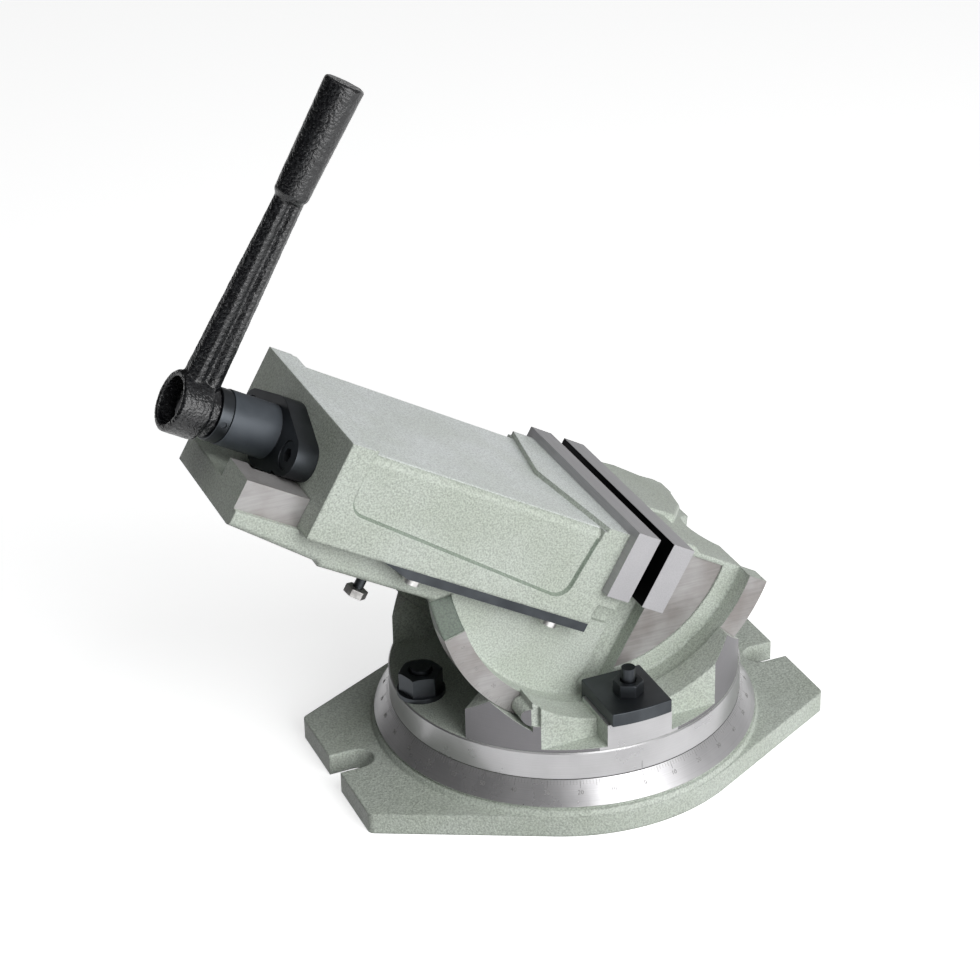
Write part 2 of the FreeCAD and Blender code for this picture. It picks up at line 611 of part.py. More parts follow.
# Guide strips under both sides of the slide, with their screws
strip_end_u = slide_jaw_u + toe_drop
strip_left = strip_end_u - strip_len
strip = prism_y([(strip_left, slide_bottom_n), (strip_left + strip_bevel, slide_bottom_n - strip_thk),
                 (strip_end_u, slide_bottom_n - strip_thk), (strip_end_u, slide_bottom_n)],
                -slide_side, -strip_inner)
strip_screws = []
for u in strip_screw_u:
    head_n = slide_bottom_n - strip_thk
    strip = strip.cut(rod(strip_screw_d / 2, V(u, -strip_v, head_n - 1), V(0, 0, 1), strip_thk + 2))
    screw = rod(strip_screw_d / 2, V(u, -strip_v, head_n), V(0, 0, 1), strip_screw_in)
    screw = screw.fuse(rod(strip_head_d / 2, V(u, -strip_v, head_n), V(0, 0, -1), strip_head_h))
    strip_screws += [tilted(s) for s in both(screw.removeSplitter())]
write("guide_strip_near", [tilted(strip)])
write("guide_strip_far", [tilted(mirror_y(strip))])
write("strip_screws", strip_screws)

# Screw bearing: an eared flange with a barrel, and its two sunk socket screws
lobes = []
for side in (1, -1):
    lobes.append(rod(lobe_r, V(bearing_face_u, side * lobe_v, screw_n), V(1, 0, 0), bearing_thk))
d = lobe_v
a = math.acos((bearing_body_r - lobe_r) / d)
web = []
for sv, sn in ((1, 1), (1, -1), (-1, -1), (-1, 1)):
    cv = math.cos(a)
    cn = math.sin(a)
    near = (sv * bearing_body_r * cv, screw_n + sn * bearing_body_r * cn)
    out = (sv * (d + lobe_r * cv), screw_n + sn * lobe_r * cn)
    web += [near, out] if sv * sn > 0 else [out, near]
order = [web[0], web[1], web[2], web[3], web[4], web[5], web[6], web[7]]
plate = prism_x(order, bearing_face_u, slide_end_u)
bearing = fuse([plate, rod(bearing_body_r, V(bearing_face_u, 0, screw_n), V(1, 0, 0), bearing_thk)]
               + lobes)
bearing = bearing.fuse(rod(barrel_r, V(barrel_end_u, 0, screw_n), V(1, 0, 0), barrel_len + 1))
bearing = bearing.removeSplitter()
bearing = bearing.cut(rod(screw_r + bore_gap, V(barrel_end_u - 1, 0, screw_n), V(1, 0, 0),
                          barrel_len + bearing_thk + 2))
for side in (1, -1):
    low_side = sorted([side * (bed_mouth_half - 0.6), side * (lobe_v + lobe_r)])
    bearing = bearing.cut(box(bearing_face_u - 1, slide_end_u + 1, low_side[0], low_side[1],
                              screw_n - bearing_body_r - 1, slide_under_n))
bearing_screws = []
for side in (1, -1):
    mouth = V(bearing_face_u, side * lobe_v, screw_n)
    bearing = bearing.cut(rod(bearing_screw_d / 2 + 0.4, mouth, V(1, 0, 0), bearing_thk))
    bearing = bearing.cut(rod(bearing_head_d / 2 + 0.3, mouth, V(1, 0, 0), bearing_head_h + 0.5))
    start = V(bearing_face_u + 0.5, side * lobe_v, screw_n)
    screw = rod(bearing_head_d / 2, start, V(1, 0, 0), bearing_head_h)
    screw = screw.fuse(rod(bearing_screw_d / 2, start, V(1, 0, 0), bearing_thk - 0.5 + bearing_screw_in))
    screw = screw.cut(hexagon(jaw_screw_socket, start - V(1, 0, 0), V(1, 0, 0), 5.0, 15))
    bearing_screws.append(tilted(screw.removeSplitter()))
write("screw_bearing", [tilted(bearing)])
write("bearing_screws", bearing_screws)

# Lead screw with its inner thrust shoulder and squared end, the pinned collar, and the crank
socket_u = hub_out_u + hub_bore_depth
square_u = socket_u - square_stand
screw = rod(screw_r, V(hub_in_u, 0, screw_n), V(1, 0, 0), screw_end_u - hub_in_u)
inner_face = slide_end_u + end_wall + slide_gap
screw = screw.fuse(rod(thrust_r, V(inner_face, 0, screw_n), V(1, 0, 0), shoulder_len))
h = square_af / 2
screw = screw.fuse(box(square_u, hub_in_u + 1, -h, h, screw_n - h, screw_n + h).common(
    rod(screw_r, V(square_u, 0, screw_n), V(1, 0, 0), hub_in_u + 1 - square_u))).removeSplitter()
collar = rod(collar_r, V(collar_end_u, 0, screw_n), V(1, 0, 0), collar_len)
collar = collar.cut(rod(screw_r, V(collar_end_u - 1, 0, screw_n), V(1, 0, 0), collar_len + 2))
pin_u = collar_end_u + collar_len / 2
pin = rod(collar_pin_d / 2, V(pin_u, -collar_r + 0.6, screw_n), V(0, 1, 0), 2 * collar_r - 1.2)
hole = rod(collar_pin_d / 2, V(pin_u, -collar_r - 1, screw_n), V(0, 1, 0), 2 * collar_r + 2)
collar = collar.cut(hole)
screw = screw.cut(hole)
write("lead_screw", [tilted(screw)])
write("thrust_collar", [tilted(collar)])
write("collar_pin", [tilted(pin)])


def arm_section(n, length, width, flute):
    c = width * 0.28
    pts = [(-length / 2, -width / 2 + c), (-length / 2 + c, -width / 2), (-length * 0.17, -width / 2),
           (0, -width / 2 + flute), (length * 0.17, -width / 2), (length / 2 - c, -width / 2),
           (length / 2, -width / 2 + c), (length / 2, width / 2 - c), (length / 2 - c, width / 2),
           (length * 0.17, width / 2), (0, width / 2 - flute), (-length * 0.17, width / 2),
           (-length / 2 + c, width / 2), (-length / 2, width / 2 - c)]
    ring = [V(arm_u + p[0], p[1], n) for p in pts]
    return Part.makePolygon(ring + [ring[0]])


hub = rod(hub_r, V(hub_out_u, 0, screw_n), V(1, 0, 0), hub_len - hub_neck_len)
rims = [e for e in hub.Edges if len(e.Vertexes) == 1]
hub = hub.makeFillet(1.5, rims)
hub = hub.fuse(rod(hub_neck_r, V(hub_out_u + hub_bore_depth + 1, 0, screw_n), V(1, 0, 0),
                   hub_len - hub_bore_depth - 1))
arm = Part.makeLoft([arm_section(screw_n + hub_r * 0.4, arm_len_u, arm_width, arm_flute),
                     arm_section(screw_n + arm_top, arm_len_u_top, arm_width_top, arm_flute * 0.7)],
                    True, True)
grip_u = arm_u - 0.3
grip_low = screw_n + arm_top - 3
grip_rise = grip_top - arm_top + 3
grip = Part.makePolygon([V(grip_u, 0, grip_low), V(grip_u + grip_start_r - 2, 0, grip_low),
                         V(grip_u + grip_start_r, 0, grip_low + 3),
                         V(grip_u + grip_end_r, 0, grip_low + grip_rise - grip_rim),
                         V(grip_u + grip_end_r - grip_rim, 0, grip_low + grip_rise),
                         V(grip_u, 0, grip_low + grip_rise), V(grip_u, 0, grip_low)])
grip = Part.Face(grip).revolve(V(grip_u, 0, 0), V(0, 0, 1), 360)
crank = fuse([hub, arm, grip])
crank = crank.cut(rod(hub_bore_r, V(hub_out_u - 1, 0, screw_n), V(1, 0, 0), hub_bore_depth + 1))
crank = crank.cut(box(hub_out_u, hub_in_u + 1, -h, h, screw_n - h, screw_n + h).common(
    rod(screw_r, V(hub_out_u, 0, screw_n), V(1, 0, 0), hub_in_u + 1 - hub_out_u)))
write("crank_handle", [tilted(crank)])
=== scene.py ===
# A machine vise: one jaw is screwed along a bed, the bed's drum tilts in a cradle,
# and the cradle swivels on a round foot plate with two slotted lugs.
import math

import bmesh
import bpy
from mathutils import Matrix, Vector, noise


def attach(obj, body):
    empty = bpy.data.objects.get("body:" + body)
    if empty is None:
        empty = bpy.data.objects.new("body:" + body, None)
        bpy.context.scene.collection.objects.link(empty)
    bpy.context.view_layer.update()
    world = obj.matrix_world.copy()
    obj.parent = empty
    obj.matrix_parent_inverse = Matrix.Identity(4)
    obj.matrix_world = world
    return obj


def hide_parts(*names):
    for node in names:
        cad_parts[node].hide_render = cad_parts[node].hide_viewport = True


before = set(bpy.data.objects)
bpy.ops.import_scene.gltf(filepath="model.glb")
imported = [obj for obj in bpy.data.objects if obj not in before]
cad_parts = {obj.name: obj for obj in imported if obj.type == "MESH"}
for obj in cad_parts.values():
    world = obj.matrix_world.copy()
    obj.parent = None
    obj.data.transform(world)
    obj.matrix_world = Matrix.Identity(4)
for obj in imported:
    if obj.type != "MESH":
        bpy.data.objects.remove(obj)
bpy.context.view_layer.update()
scene = bpy.context.scene
scene.view_settings.view_transform = "Standard"
MM = 0.001


# Stage: a plain pale floor under soft studio light: a wide lamp in front, a smaller one above
# it and a weak one high over the crank end. Floor and room are palest on the front right.
def node(tree, kind, **inputs):
    made = tree.nodes.new(kind)
    for name, value in inputs.items():
        made.inputs[name.replace("_", " ")].default_value = value
    return made


floor_mesh = bpy.data.meshes.new("floor")
reach = 6
floor_corners = [(-reach, -reach, 0), (reach, -reach, 0), (reach, reach, 0), (-reach, reach, 0)]
floor_mesh.from_pydata(floor_corners, [], [(0, 1, 2, 3)])
floor = bpy.data.objects.new("floor", floor_mesh)
scene.collection.objects.link(floor)
floor_paint = bpy.data.materials.new("floor paper")
floor_paint.use_nodes = True
floor_tree = floor_paint.node_tree
floor_tree.nodes.clear()
floor_white = node(floor_tree, "ShaderNodeBsdfDiffuse", Color=(0.90, 0.905, 0.905, 1))
floor_glow = node(floor_tree, "ShaderNodeEmission", Color=(1, 1, 1, 1), Strength=0.62)
floor_seen = floor_tree.nodes.new("ShaderNodeAddShader")
floor_tree.links.new(floor_white.outputs["BSDF"], floor_seen.inputs[0])
floor_tree.links.new(floor_glow.outputs["Emission"], floor_seen.inputs[1])
floor_bounce = floor_tree.nodes.new("ShaderNodeBsdfDiffuse")
floor_way = floor_tree.nodes.new("ShaderNodeTexCoord")
floor_side = node(floor_tree, "ShaderNodeVectorMath")
floor_side.operation = "DOT_PRODUCT"
floor_side.inputs[1].default_value = (0.88, -0.47, 0)
floor_tree.links.new(floor_way.outputs["Object"], floor_side.inputs[0])
floor_fade = floor_tree.nodes.new("ShaderNodeMapRange")
for name, value in (("From Min", -0.20), ("From Max", 0.25), ("To Min", 0.05), ("To Max", 0.34)):
    floor_fade.inputs[name].default_value = value
floor_tree.links.new(floor_side.outputs["Value"], floor_fade.inputs["Value"])
floor_tree.links.new(floor_fade.outputs["Result"], floor_bounce.inputs["Color"])
floor_ray = floor_tree.nodes.new("ShaderNodeLightPath")
floor_direct = floor_tree.nodes.new("ShaderNodeMath")
floor_direct.operation = "MAXIMUM"
floor_tree.links.new(floor_ray.outputs["Is Camera Ray"], floor_direct.inputs[0])
floor_tree.links.new(floor_ray.outputs["Is Transmission Ray"], floor_direct.inputs[1])
floor_any = floor_tree.nodes.new("ShaderNodeMath")
floor_any.operation = "MAXIMUM"
floor_tree.links.new(floor_direct.outputs["Value"], floor_any.inputs[0])
floor_tree.links.new(floor_ray.outputs["Is Glossy Ray"], floor_any.inputs[1])
floor_mix = floor_tree.nodes.new("ShaderNodeMixShader")
floor_tree.links.new(floor_any.outputs["Value"], floor_mix.inputs["Fac"])
floor_tree.links.new(floor_bounce.outputs["BSDF"], floor_mix.inputs[1])
floor_tree.links.new(floor_seen.outputs["Shader"], floor_mix.inputs[2])
floor_out = floor_tree.nodes.new("ShaderNodeOutputMaterial")
floor_tree.links.new(floor_mix.outputs["Shader"], floor_out.inputs["Surface"])
floor_mesh.materials.append(floor_paint)

world = bpy.data.worlds.new("studio")
world.use_nodes = True
scene.world = world
sky = world.node_tree
sky.nodes.clear()
sky_way = sky.nodes.new("ShaderNodeTexCoord")
sky_side = node(sky, "ShaderNodeVectorMath")
sky_side.operation = "DOT_PRODUCT"
sky_side.inputs[1].default_value = (0.74, -0.64, 0.20)
sky.links.new(sky_way.outputs["Generated"], sky_side.inputs[0])
sky_ramp = sky.nodes.new("ShaderNodeMapRange")
sky_ramp.interpolation_type = "SMOOTHSTEP"
for name, value in (("From Min", -0.5), ("From Max", 0.95), ("To Min", 0.08), ("To Max", 0.75)):
    sky_ramp.inputs[name].default_value = value
sky.links.new(sky_side.outputs["Value"], sky_ramp.inputs["Value"])
sky_light = sky.nodes.new("ShaderNodeBackground")
sky.links.new(sky_ramp.outputs["Result"], sky_light.inputs["Color"])
sky_light.inputs["Strength"].default_value = 0.55
sky_out = sky.nodes.new("ShaderNodeOutputWorld")
sky.links.new(sky_light.outputs["Background"], sky_out.inputs["Surface"])


lamp_aim = Vector((0, 0, 0.12))


def lamp(name, place, size, watts):
    light = bpy.data.lights.new(name, "AREA")
    light.shape = "DISK"
    light.size = size
    light.energy = watts
    made = bpy.data.objects.new(name, light)
    made.location = place
    made.rotation_euler = (lamp_aim - Vector(place)).to_track_quat("-Z", "Y").to_euler()
    scene.collection.objects.link(made)


lamp("front lamp", (0.50, -1.79, 0.52), 1.8, 35)
lamp("upper lamp", (0.20, -1.25, 1.46), 1.0, 8)
lamp("top lamp", (-0.75, -0.15, 1.75), 1.0, 3.5)

# Camera: the place, turn and framing of the photograph
photo_px = 980
focal_px = 2583.49
sensor_mm = 36
view_away = 1.28513
view_az = math.radians(-25.80)
view_el = math.radians(24.36)
view_back = Vector((math.sin(view_az) * math.cos(view_el), -math.cos(view_az) * math.cos(view_el),
                    math.sin(view_el)))
view_right = Vector((math.cos(view_az), math.sin(view_az), 0))
view_up = view_back.cross(view_right)
view_aim = Vector((0, 0, 0.080)) + view_right * 0.02538 + view_up * 0.12824
camera_data = bpy.data.cameras.new("camera")
camera_data.sensor_width = sensor_mm
camera_data.lens = focal_px / photo_px * sensor_mm
camera_data.shift_x = -124.64 / photo_px
camera_data.shift_y = -161.64 / photo_px
camera_data.clip_start = 0.05
camera_data.clip_end = 30
camera = bpy.data.objects.new("camera", camera_data)
turn = Matrix((view_right, view_up, view_back)).transposed()
camera.matrix_world = Matrix.Translation(view_aim + view_back * view_away) @ turn.to_4x4()
scene.collection.objects.link(camera)
scene.camera = camera


# Base: one grey iron casting, a round plate with two slotted lugs. It is painted with thick
# hammered paint, then the scale cone and the swivel seat are turned bare on a lathe.
def finish_material(name, colour, metallic, rough):
    material = bpy.data.materials.new(name)
    material.use_nodes = True
    shader = material.node_tree.nodes["Principled BSDF"]
    shader.inputs["Base Color"].default_value = (*colour, 1)
    shader.inputs["Metallic"].default_value = metallic
    shader.inputs["Roughness"].default_value = rough
    return material


def grain(material, scale, detail=2.0, stretch=(1, 1, 1), turned=(0, 0, 0)):
    tree = material.node_tree
    coords = tree.nodes.new("ShaderNodeTexCoord")
    mapping = tree.nodes.new("ShaderNodeMapping")
    mapping.inputs["Rotation"].default_value = turned
    mapping.inputs["Scale"].default_value = stretch
    tree.links.new(coords.outputs["Object"], mapping.inputs["Vector"])
    made = tree.nodes.new("ShaderNodeTexNoise")
    made.inputs["Scale"].default_value = scale
    made.inputs["Detail"].default_value = detail
    tree.links.new(mapping.outputs["Vector"], made.inputs["Vector"])
    return made.outputs["Fac"]


def tint(material, fac, low, high, start=0.35, end=0.65, over=None):
    tree = material.node_tree
    shader = tree.nodes["Principled BSDF"]
    ramp = tree.nodes.new("ShaderNodeValToRGB")
    ramp.color_ramp.elements[0].position = start
    ramp.color_ramp.elements[0].color = (*low, 1)
    ramp.color_ramp.elements[1].position = end
    ramp.color_ramp.elements[1].color = (*high, 1)
    tree.links.new(fac, ramp.inputs["Fac"])
    result = ramp.outputs["Color"]
    if over is not None:
        mix = tree.nodes.new("ShaderNodeMix")
        mix.data_type = "RGBA"
        mix.blend_type = "MULTIPLY"
        mix.inputs["Factor"].default_value = 1.0
        tree.links.new(over, mix.inputs["A"])
        tree.links.new(result, mix.inputs["B"])
        result = mix.outputs["Result"]
    tree.links.new(result, shader.inputs["Base Color"])
    return result


def relief(material, fac, strength, depth, under=None):
    tree = material.node_tree
    bump = tree.nodes.new("ShaderNodeBump")
    bump.inputs["Strength"].default_value = strength
    bump.inputs["Distance"].default_value = depth
    tree.links.new(fac, bump.inputs["Height"])
    if under is not None:
        tree.links.new(under, bump.inputs["Normal"])
    tree.links.new(bump.outputs["Normal"], tree.nodes["Principled BSDF"].inputs["Normal"])
    return bump.outputs["Normal"]


def rough_from(material, fac, low, high):
    tree = material.node_tree
    spread = tree.nodes.new("ShaderNodeMapRange")
    spread.inputs["From Min"].default_value = 0.3
    spread.inputs["From Max"].default_value = 0.7
    spread.inputs["To Min"].default_value = low
    spread.inputs["To Max"].default_value = high
    tree.links.new(fac, spread.inputs["Value"])
    tree.links.new(spread.outputs["Result"], tree.nodes["Principled BSDF"].inputs["Roughness"])


def hammered_paint(name, shade, bump_strength, rough):
    paint = finish_material(name, shade, 0.0, rough)
    light = tuple(min(1.0, c * 1.10) for c in shade)
    dark = tuple(c * 0.72 for c in shade)
    speck = grain(paint, 1150, 3.0)
    base = tint(paint, speck, dark, light, 0.36, 0.60)
    patch = grain(paint, 28, 4.0)
    tint(paint, patch, (0.90, 0.91, 0.88), (1.0, 1.0, 1.0), 0.34, 0.62, over=base)
    lumps = grain(paint, 800, 2.0)
    edges = paint.node_tree.nodes.new("ShaderNodeBevel")
    edges.samples = 4
    edges.inputs["Radius"].default_value = 1.6 * MM
    first = relief(paint, lumps, bump_strength, 0.6 * MM, under=edges.outputs["Normal"])
    relief(paint, grain(paint, 1700, 2.0), bump_strength * 0.5, 0.25 * MM, under=first)
    rough_from(paint, speck, rough - 0.06, rough + 0.10)
    return paint


sage_paint = hammered_paint("hammered sage paint", (0.515, 0.56, 0.505), 0.65, 0.42)


def turned_steel(name, shade, rough):
    metal = finish_material(name, shade, 0.7, rough)
    tree = metal.node_tree
    coords = tree.nodes.new("ShaderNodeTexCoord")
    parts = tree.nodes.new("ShaderNodeSeparateXYZ")
    tree.links.new(coords.outputs["Object"], parts.inputs["Vector"])
    radius = tree.nodes.new("ShaderNodeVectorMath")
    radius.operation = "LENGTH"
    flat = tree.nodes.new("ShaderNodeCombineXYZ")
    tree.links.new(parts.outputs["X"], flat.inputs["X"])
    tree.links.new(parts.outputs["Y"], flat.inputs["Y"])
    tree.links.new(flat.outputs["Vector"], radius.inputs[0])
    ring = tree.nodes.new("ShaderNodeCombineXYZ")
    tree.links.new(radius.outputs["Value"], ring.inputs["X"])
    tree.links.new(parts.outputs["Z"], ring.inputs["Z"])
    groove = tree.nodes.new("ShaderNodeTexNoise")
    groove.inputs["Scale"].default_value = 2600
    groove.inputs["Detail"].default_value = 3
    tree.links.new(ring.outputs["Vector"], groove.inputs["Vector"])
    relief(metal, groove.outputs["Fac"], 0.25, 0.06 * MM)
    stain = grain(metal, 30, 5.0)
    dark = tuple(c * 0.86 for c in shade)
    light = tuple(min(1, c * 1.06) for c in shade)
    base = tint(metal, stain, dark, light)
    tint(metal, groove.outputs["Fac"], (0.90, 0.90, 0.90), (1, 1, 1), 0.3, 0.6, over=base)
    rough_from(metal, stain, rough - 0.05, rough + 0.08)
    return metal


lathe_steel = turned_steel("turned iron", (0.50, 0.495, 0.505), 0.28)


def clean_copy(name, new_name):
    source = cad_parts[name]
    mesh = source.data.copy()
    mesh.name = new_name
    mesh.transform(source.matrix_world)
    mesh.materials.clear()
    made = bpy.data.objects.new(new_name, mesh)
    scene.collection.objects.link(made)
    work = bmesh.new()
    work.from_mesh(mesh)
    bmesh.ops.remove_doubles(work, verts=work.verts, dist=0.004 * MM)
    bmesh.ops.dissolve_limit(work, angle_limit=math.radians(0.6), verts=work.verts,
                             edges=work.edges)
    work.to_mesh(mesh)
    work.free()
    return made


def soften(made, width, angle=32, keep=None):
    mesh = made.data
    work = bmesh.new()
    work.from_mesh(mesh)
    corners = []
    for e in work.edges:
        if len(e.link_faces) != 2 or e.calc_length() < 0.25 * MM:
            continue
        if e.calc_face_angle(0) < math.radians(angle):
            continue
        if keep is not None and not keep((e.verts[0].co + e.verts[1].co) / 2):
            continue
        corners.append(e)
    bmesh.ops.bevel(work, geom=corners, offset=width, offset_type="OFFSET", segments=2, profile=0.5,
                    affect="EDGES", clamp_overlap=True)
    bmesh.ops.remove_doubles(work, verts=work.verts, dist=0.002 * MM)
    bmesh.ops.triangulate(work, faces=[f for f in work.faces if len(f.verts) > 4])
    work.to_mesh(mesh)
    work.free()


def shade(made, angle=35):
    mesh = made.data
    for face in mesh.polygons:
        face.use_smooth = True
    work = bmesh.new()
    work.from_mesh(mesh)
    work.normal_update()
    for edge in work.edges:
        edge.smooth = len(edge.link_faces) == 2 and edge.calc_face_angle(0) < math.radians(angle)
    work.faces.ensure_lookup_table()
    plane_of = [-1] * len(work.faces)
    areas = []
    for seed in work.faces:
        if plane_of[seed.index] >= 0:
            continue
        plane_of[seed.index] = len(areas)
        reached = [seed]
        area = 0.0
        while reached:
            face = reached.pop()
            area += face.calc_area()
            for edge in face.edges:
                for other in edge.link_faces:
                    if plane_of[other.index] < 0 and other.normal.dot(seed.normal) > 0.99999:
                        plane_of[other.index] = len(areas)
                        reached.append(other)
        areas.append(area)
    normals = [None] * len(mesh.loops)
    for vert in work.verts:
        left = set(vert.link_faces)
        while left:
            fan = [left.pop()]
            for face in fan:
                for edge in face.edges:
                    if vert in edge.verts and edge.smooth:
                        for other in edge.link_faces:
                            if other in left:
                                left.remove(other)
                                fan.append(other)
            total = Vector()
            for face in fan:
                total += face.normal * areas[plane_of[face.index]]
            total.normalize()
            for face in fan:
                start = mesh.polygons[face.index].loop_start
                for k, loop in enumerate(face.loops):
                    if loop.vert == vert:
                        normals[start + k] = total
    work.to_mesh(mesh)
    work.free()
    mesh.normals_split_custom_set(normals)


def belongs(made, body, slot, *nodes):
    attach(made, body)
    if nodes:
        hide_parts(*nodes)


def bare_faces(made, index, test):
    for face in made.data.polygons:
        if all(test(made.data.vertices[i].co / MM, face.normal) for i in face.vertices):
            face.material_index = index


base = clean_copy("base_casting", "base_body")
base.data.materials.append(sage_paint)
base.data.materials.append(lathe_steel)
plate_top = 11
cone_foot_r, cone_foot_z = 96.5, 15.2
swivel_r, swivel_z = 88.5, 25.5
slot_floor_z = 6.5
slot_reach_r = 90
sole_z = 0.3
strip_reach_r = 99.5


def base_is_bare(p, n):
    in_slot = math.hypot(p.x, p.y) < slot_reach_r and p.z > slot_floor_z
    return p.z > cone_foot_z - 0.1 or in_slot or p.z < sole_z


def base_edge_is_free(p):
    return abs(p.z / MM - plate_top) > 0.3 or math.hypot(p.x, p.y) / MM > strip_reach_r


bare_faces(base, 1, base_is_bare)
soften(base, 0.8 * MM, keep=base_edge_is_free)
shade(base)
belongs(base, "base", "casting_paint", "base_casting")


# Swivel scale: fine lines and figures cut into the cone and filled with dark paint, one line
# to the degree, longer at every fifth, with a figure at every tenth.
def ring_tree():
    tree = bpy.data.node_groups.new("ring of marks", "GeometryNodeTree")
    face = tree.interface
    face.new_socket("Geometry", in_out="OUTPUT", socket_type="NodeSocketGeometry")
    sockets = {}
    for label, kind in (("Count", "Int"), ("Step", "Float"), ("Start", "Float"), ("Size", "Vector"),
                        ("Place", "Vector"), ("Lean", "Vector"), ("Material", "Material")):
        socket = face.new_socket(label, in_out="INPUT", socket_type="NodeSocket" + kind)
        sockets[label] = socket.identifier
    enter = tree.nodes.new("NodeGroupInput")
    leave = tree.nodes.new("NodeGroupOutput")
    points = tree.nodes.new("GeometryNodePoints")
    tree.links.new(enter.outputs["Count"], points.inputs["Count"])
    mark = tree.nodes.new("GeometryNodeMeshCube")
    tree.links.new(enter.outputs["Size"], mark.inputs["Size"])
    put = tree.nodes.new("GeometryNodeTransform")
    tree.links.new(mark.outputs["Mesh"], put.inputs["Geometry"])
    tree.links.new(enter.outputs["Place"], put.inputs["Translation"])
    tree.links.new(enter.outputs["Lean"], put.inputs["Rotation"])
    index = tree.nodes.new("GeometryNodeInputIndex")
    angle = tree.nodes.new("ShaderNodeMath")
    angle.operation = "MULTIPLY_ADD"
    tree.links.new(index.outputs["Index"], angle.inputs[0])
    tree.links.new(enter.outputs["Step"], angle.inputs[1])
    tree.links.new(enter.outputs["Start"], angle.inputs[2])
    spin = tree.nodes.new("ShaderNodeCombineXYZ")
    tree.links.new(angle.outputs["Value"], spin.inputs["Z"])
    copies = tree.nodes.new("GeometryNodeInstanceOnPoints")
    tree.links.new(points.outputs["Geometry"], copies.inputs["Points"])
    tree.links.new(put.outputs["Geometry"], copies.inputs["Instance"])
    tree.links.new(spin.outputs["Vector"], copies.inputs["Rotation"])
    real = tree.nodes.new("GeometryNodeRealizeInstances")
    tree.links.new(copies.outputs["Instances"], real.inputs["Geometry"])
    colour = tree.nodes.new("GeometryNodeSetMaterial")
    tree.links.new(real.outputs["Geometry"], colour.inputs["Geometry"])
    tree.links.new(enter.outputs["Material"], colour.inputs["Material"])
    tree.links.new(colour.outputs["Geometry"], leave.inputs["Geometry"])
    return tree, sockets


ring_marks, ring_sockets = ring_tree()


def plain_mesh(holder):
    bpy.context.view_layer.update()
    ready = holder.evaluated_get(bpy.context.evaluated_depsgraph_get())
    return bpy.data.meshes.new_from_object(ready)


def marks(count, step, start, size, place, lean, material):
    holder = bpy.data.objects.new("marks", bpy.data.meshes.new("marks"))
    scene.collection.objects.link(holder)
    maker = holder.modifiers.new("marks", "NODES")
    maker.node_group = ring_marks
    values = {"Count": count, "Step": step, "Start": start, "Size": size, "Place": place,
              "Lean": lean, "Material": material}
    for label, value in values.items():
        maker[ring_sockets[label]] = value
    mesh = plain_mesh(holder)
    bpy.data.objects.remove(holder)
    return mesh


def figures(text, height, matrix):
    curve = bpy.data.curves.new("figure", "FONT")
    curve.body = text
    curve.size = height
    curve.align_x = "CENTER"
    curve.align_y = "CENTER"
    curve.extrude = 0.025 * MM
    curve.resolution_u = 3
    holder = bpy.data.objects.new("figure", curve)
    scene.collection.objects.link(holder)
    mesh = plain_mesh(holder)
    mesh.transform(matrix)
    bpy.data.objects.remove(holder)
    bpy.data.curves.remove(curve)
    return mesh


def mesh_from(work, name):
    mesh = bpy.data.meshes.new(name)
    work.to_mesh(mesh)
    work.free()
    return mesh


def joined(name, meshes, material):
    work = bmesh.new()
    for mesh in meshes:
        work.from_mesh(mesh)
        bpy.data.meshes.remove(mesh)
    whole = mesh_from(work, name)
    whole.materials.clear()
    whole.materials.append(material)
    for face in whole.polygons:
        face.material_index = 0
    made = bpy.data.objects.new(name, whole)
    scene.collection.objects.link(made)
    return made


scale_ink = finish_material("scale filling", (0.22, 0.215, 0.21), 0.2, 0.55)
tint(scale_ink, grain(scale_ink, 900, 3.0), (0.15, 0.147, 0.143), (0.34, 0.335, 0.33), 0.3, 0.7)
cone_low = Vector((cone_foot_r, 0, cone_foot_z)) * MM
cone_high = Vector((swivel_r, 0, swivel_z)) * MM
cone_slope = (cone_high - cone_low).normalized()
cone_out = Vector((cone_slope.z, 0, -cone_slope.x))
cone_lean = (0, math.atan2(cone_slope.x, cone_slope.z), 0)
mark_thk = 0.06
mark_top = 0.5
cone_figure_down = 6.2
cone_figure_high = 3.0
scale_meshes = []
for count, step, length, wide in ((360, 1, 2.0, 0.12), (72, 5, 2.9, 0.16), (36, 10, 3.7, 0.20)):
    mid = cone_high - cone_slope * (mark_top + length / 2) * MM
    scale_meshes.append(marks(count, math.radians(step), 0.0, Vector((mark_thk, wide, length)) * MM,
                              mid, cone_lean, scale_ink))
figure_place = cone_high - cone_slope * cone_figure_down * MM + cone_out * 0.02 * MM
figure_axes = Matrix((Vector((0, 1, 0)), cone_slope, cone_out)).transposed().to_4x4()
for tenth in range(36):
    value = min(tenth * 10, 360 - tenth * 10)
    value = value if value <= 90 else 180 - value
    turn_z = Matrix.Rotation(math.radians(tenth * 10 - 90), 4, "Z")
    matrix = turn_z @ Matrix.Translation(figure_place) @ figure_axes
    scale_meshes.append(figures(str(abs(value)), cone_figure_high * MM, matrix))
swivel_scale = joined("swivel_scale", scale_meshes, scale_ink)
belongs(swivel_scale, "base", "casting_paint")

# Turntable: the casting that swivels on the base and cradles the drum between two cheeks.
# Its rim is turned bare, and the hollows cast into the cheeks keep their paint.
turntable = clean_copy("turntable_casting", "turntable_body")
turntable.data.materials.append(sage_paint)
turntable.data.materials.append(lathe_steel)
# The turned faces of the cheeks beside the pads take a darker copy of the turned iron: painted
# shade where they turn away from the light.
shaded_turned_iron = turned_steel("turned iron darkened as painted shade", (0.21, 0.205, 0.215), 0.45)
turntable.data.materials.append(shaded_turned_iron)
rim_from_r = 87.5
disc_top = 39.9
tilt_axis_z = 127
seat_r, seat_side = 90.7, 58.1
pad_half, pad_top = 17.1, 53.3


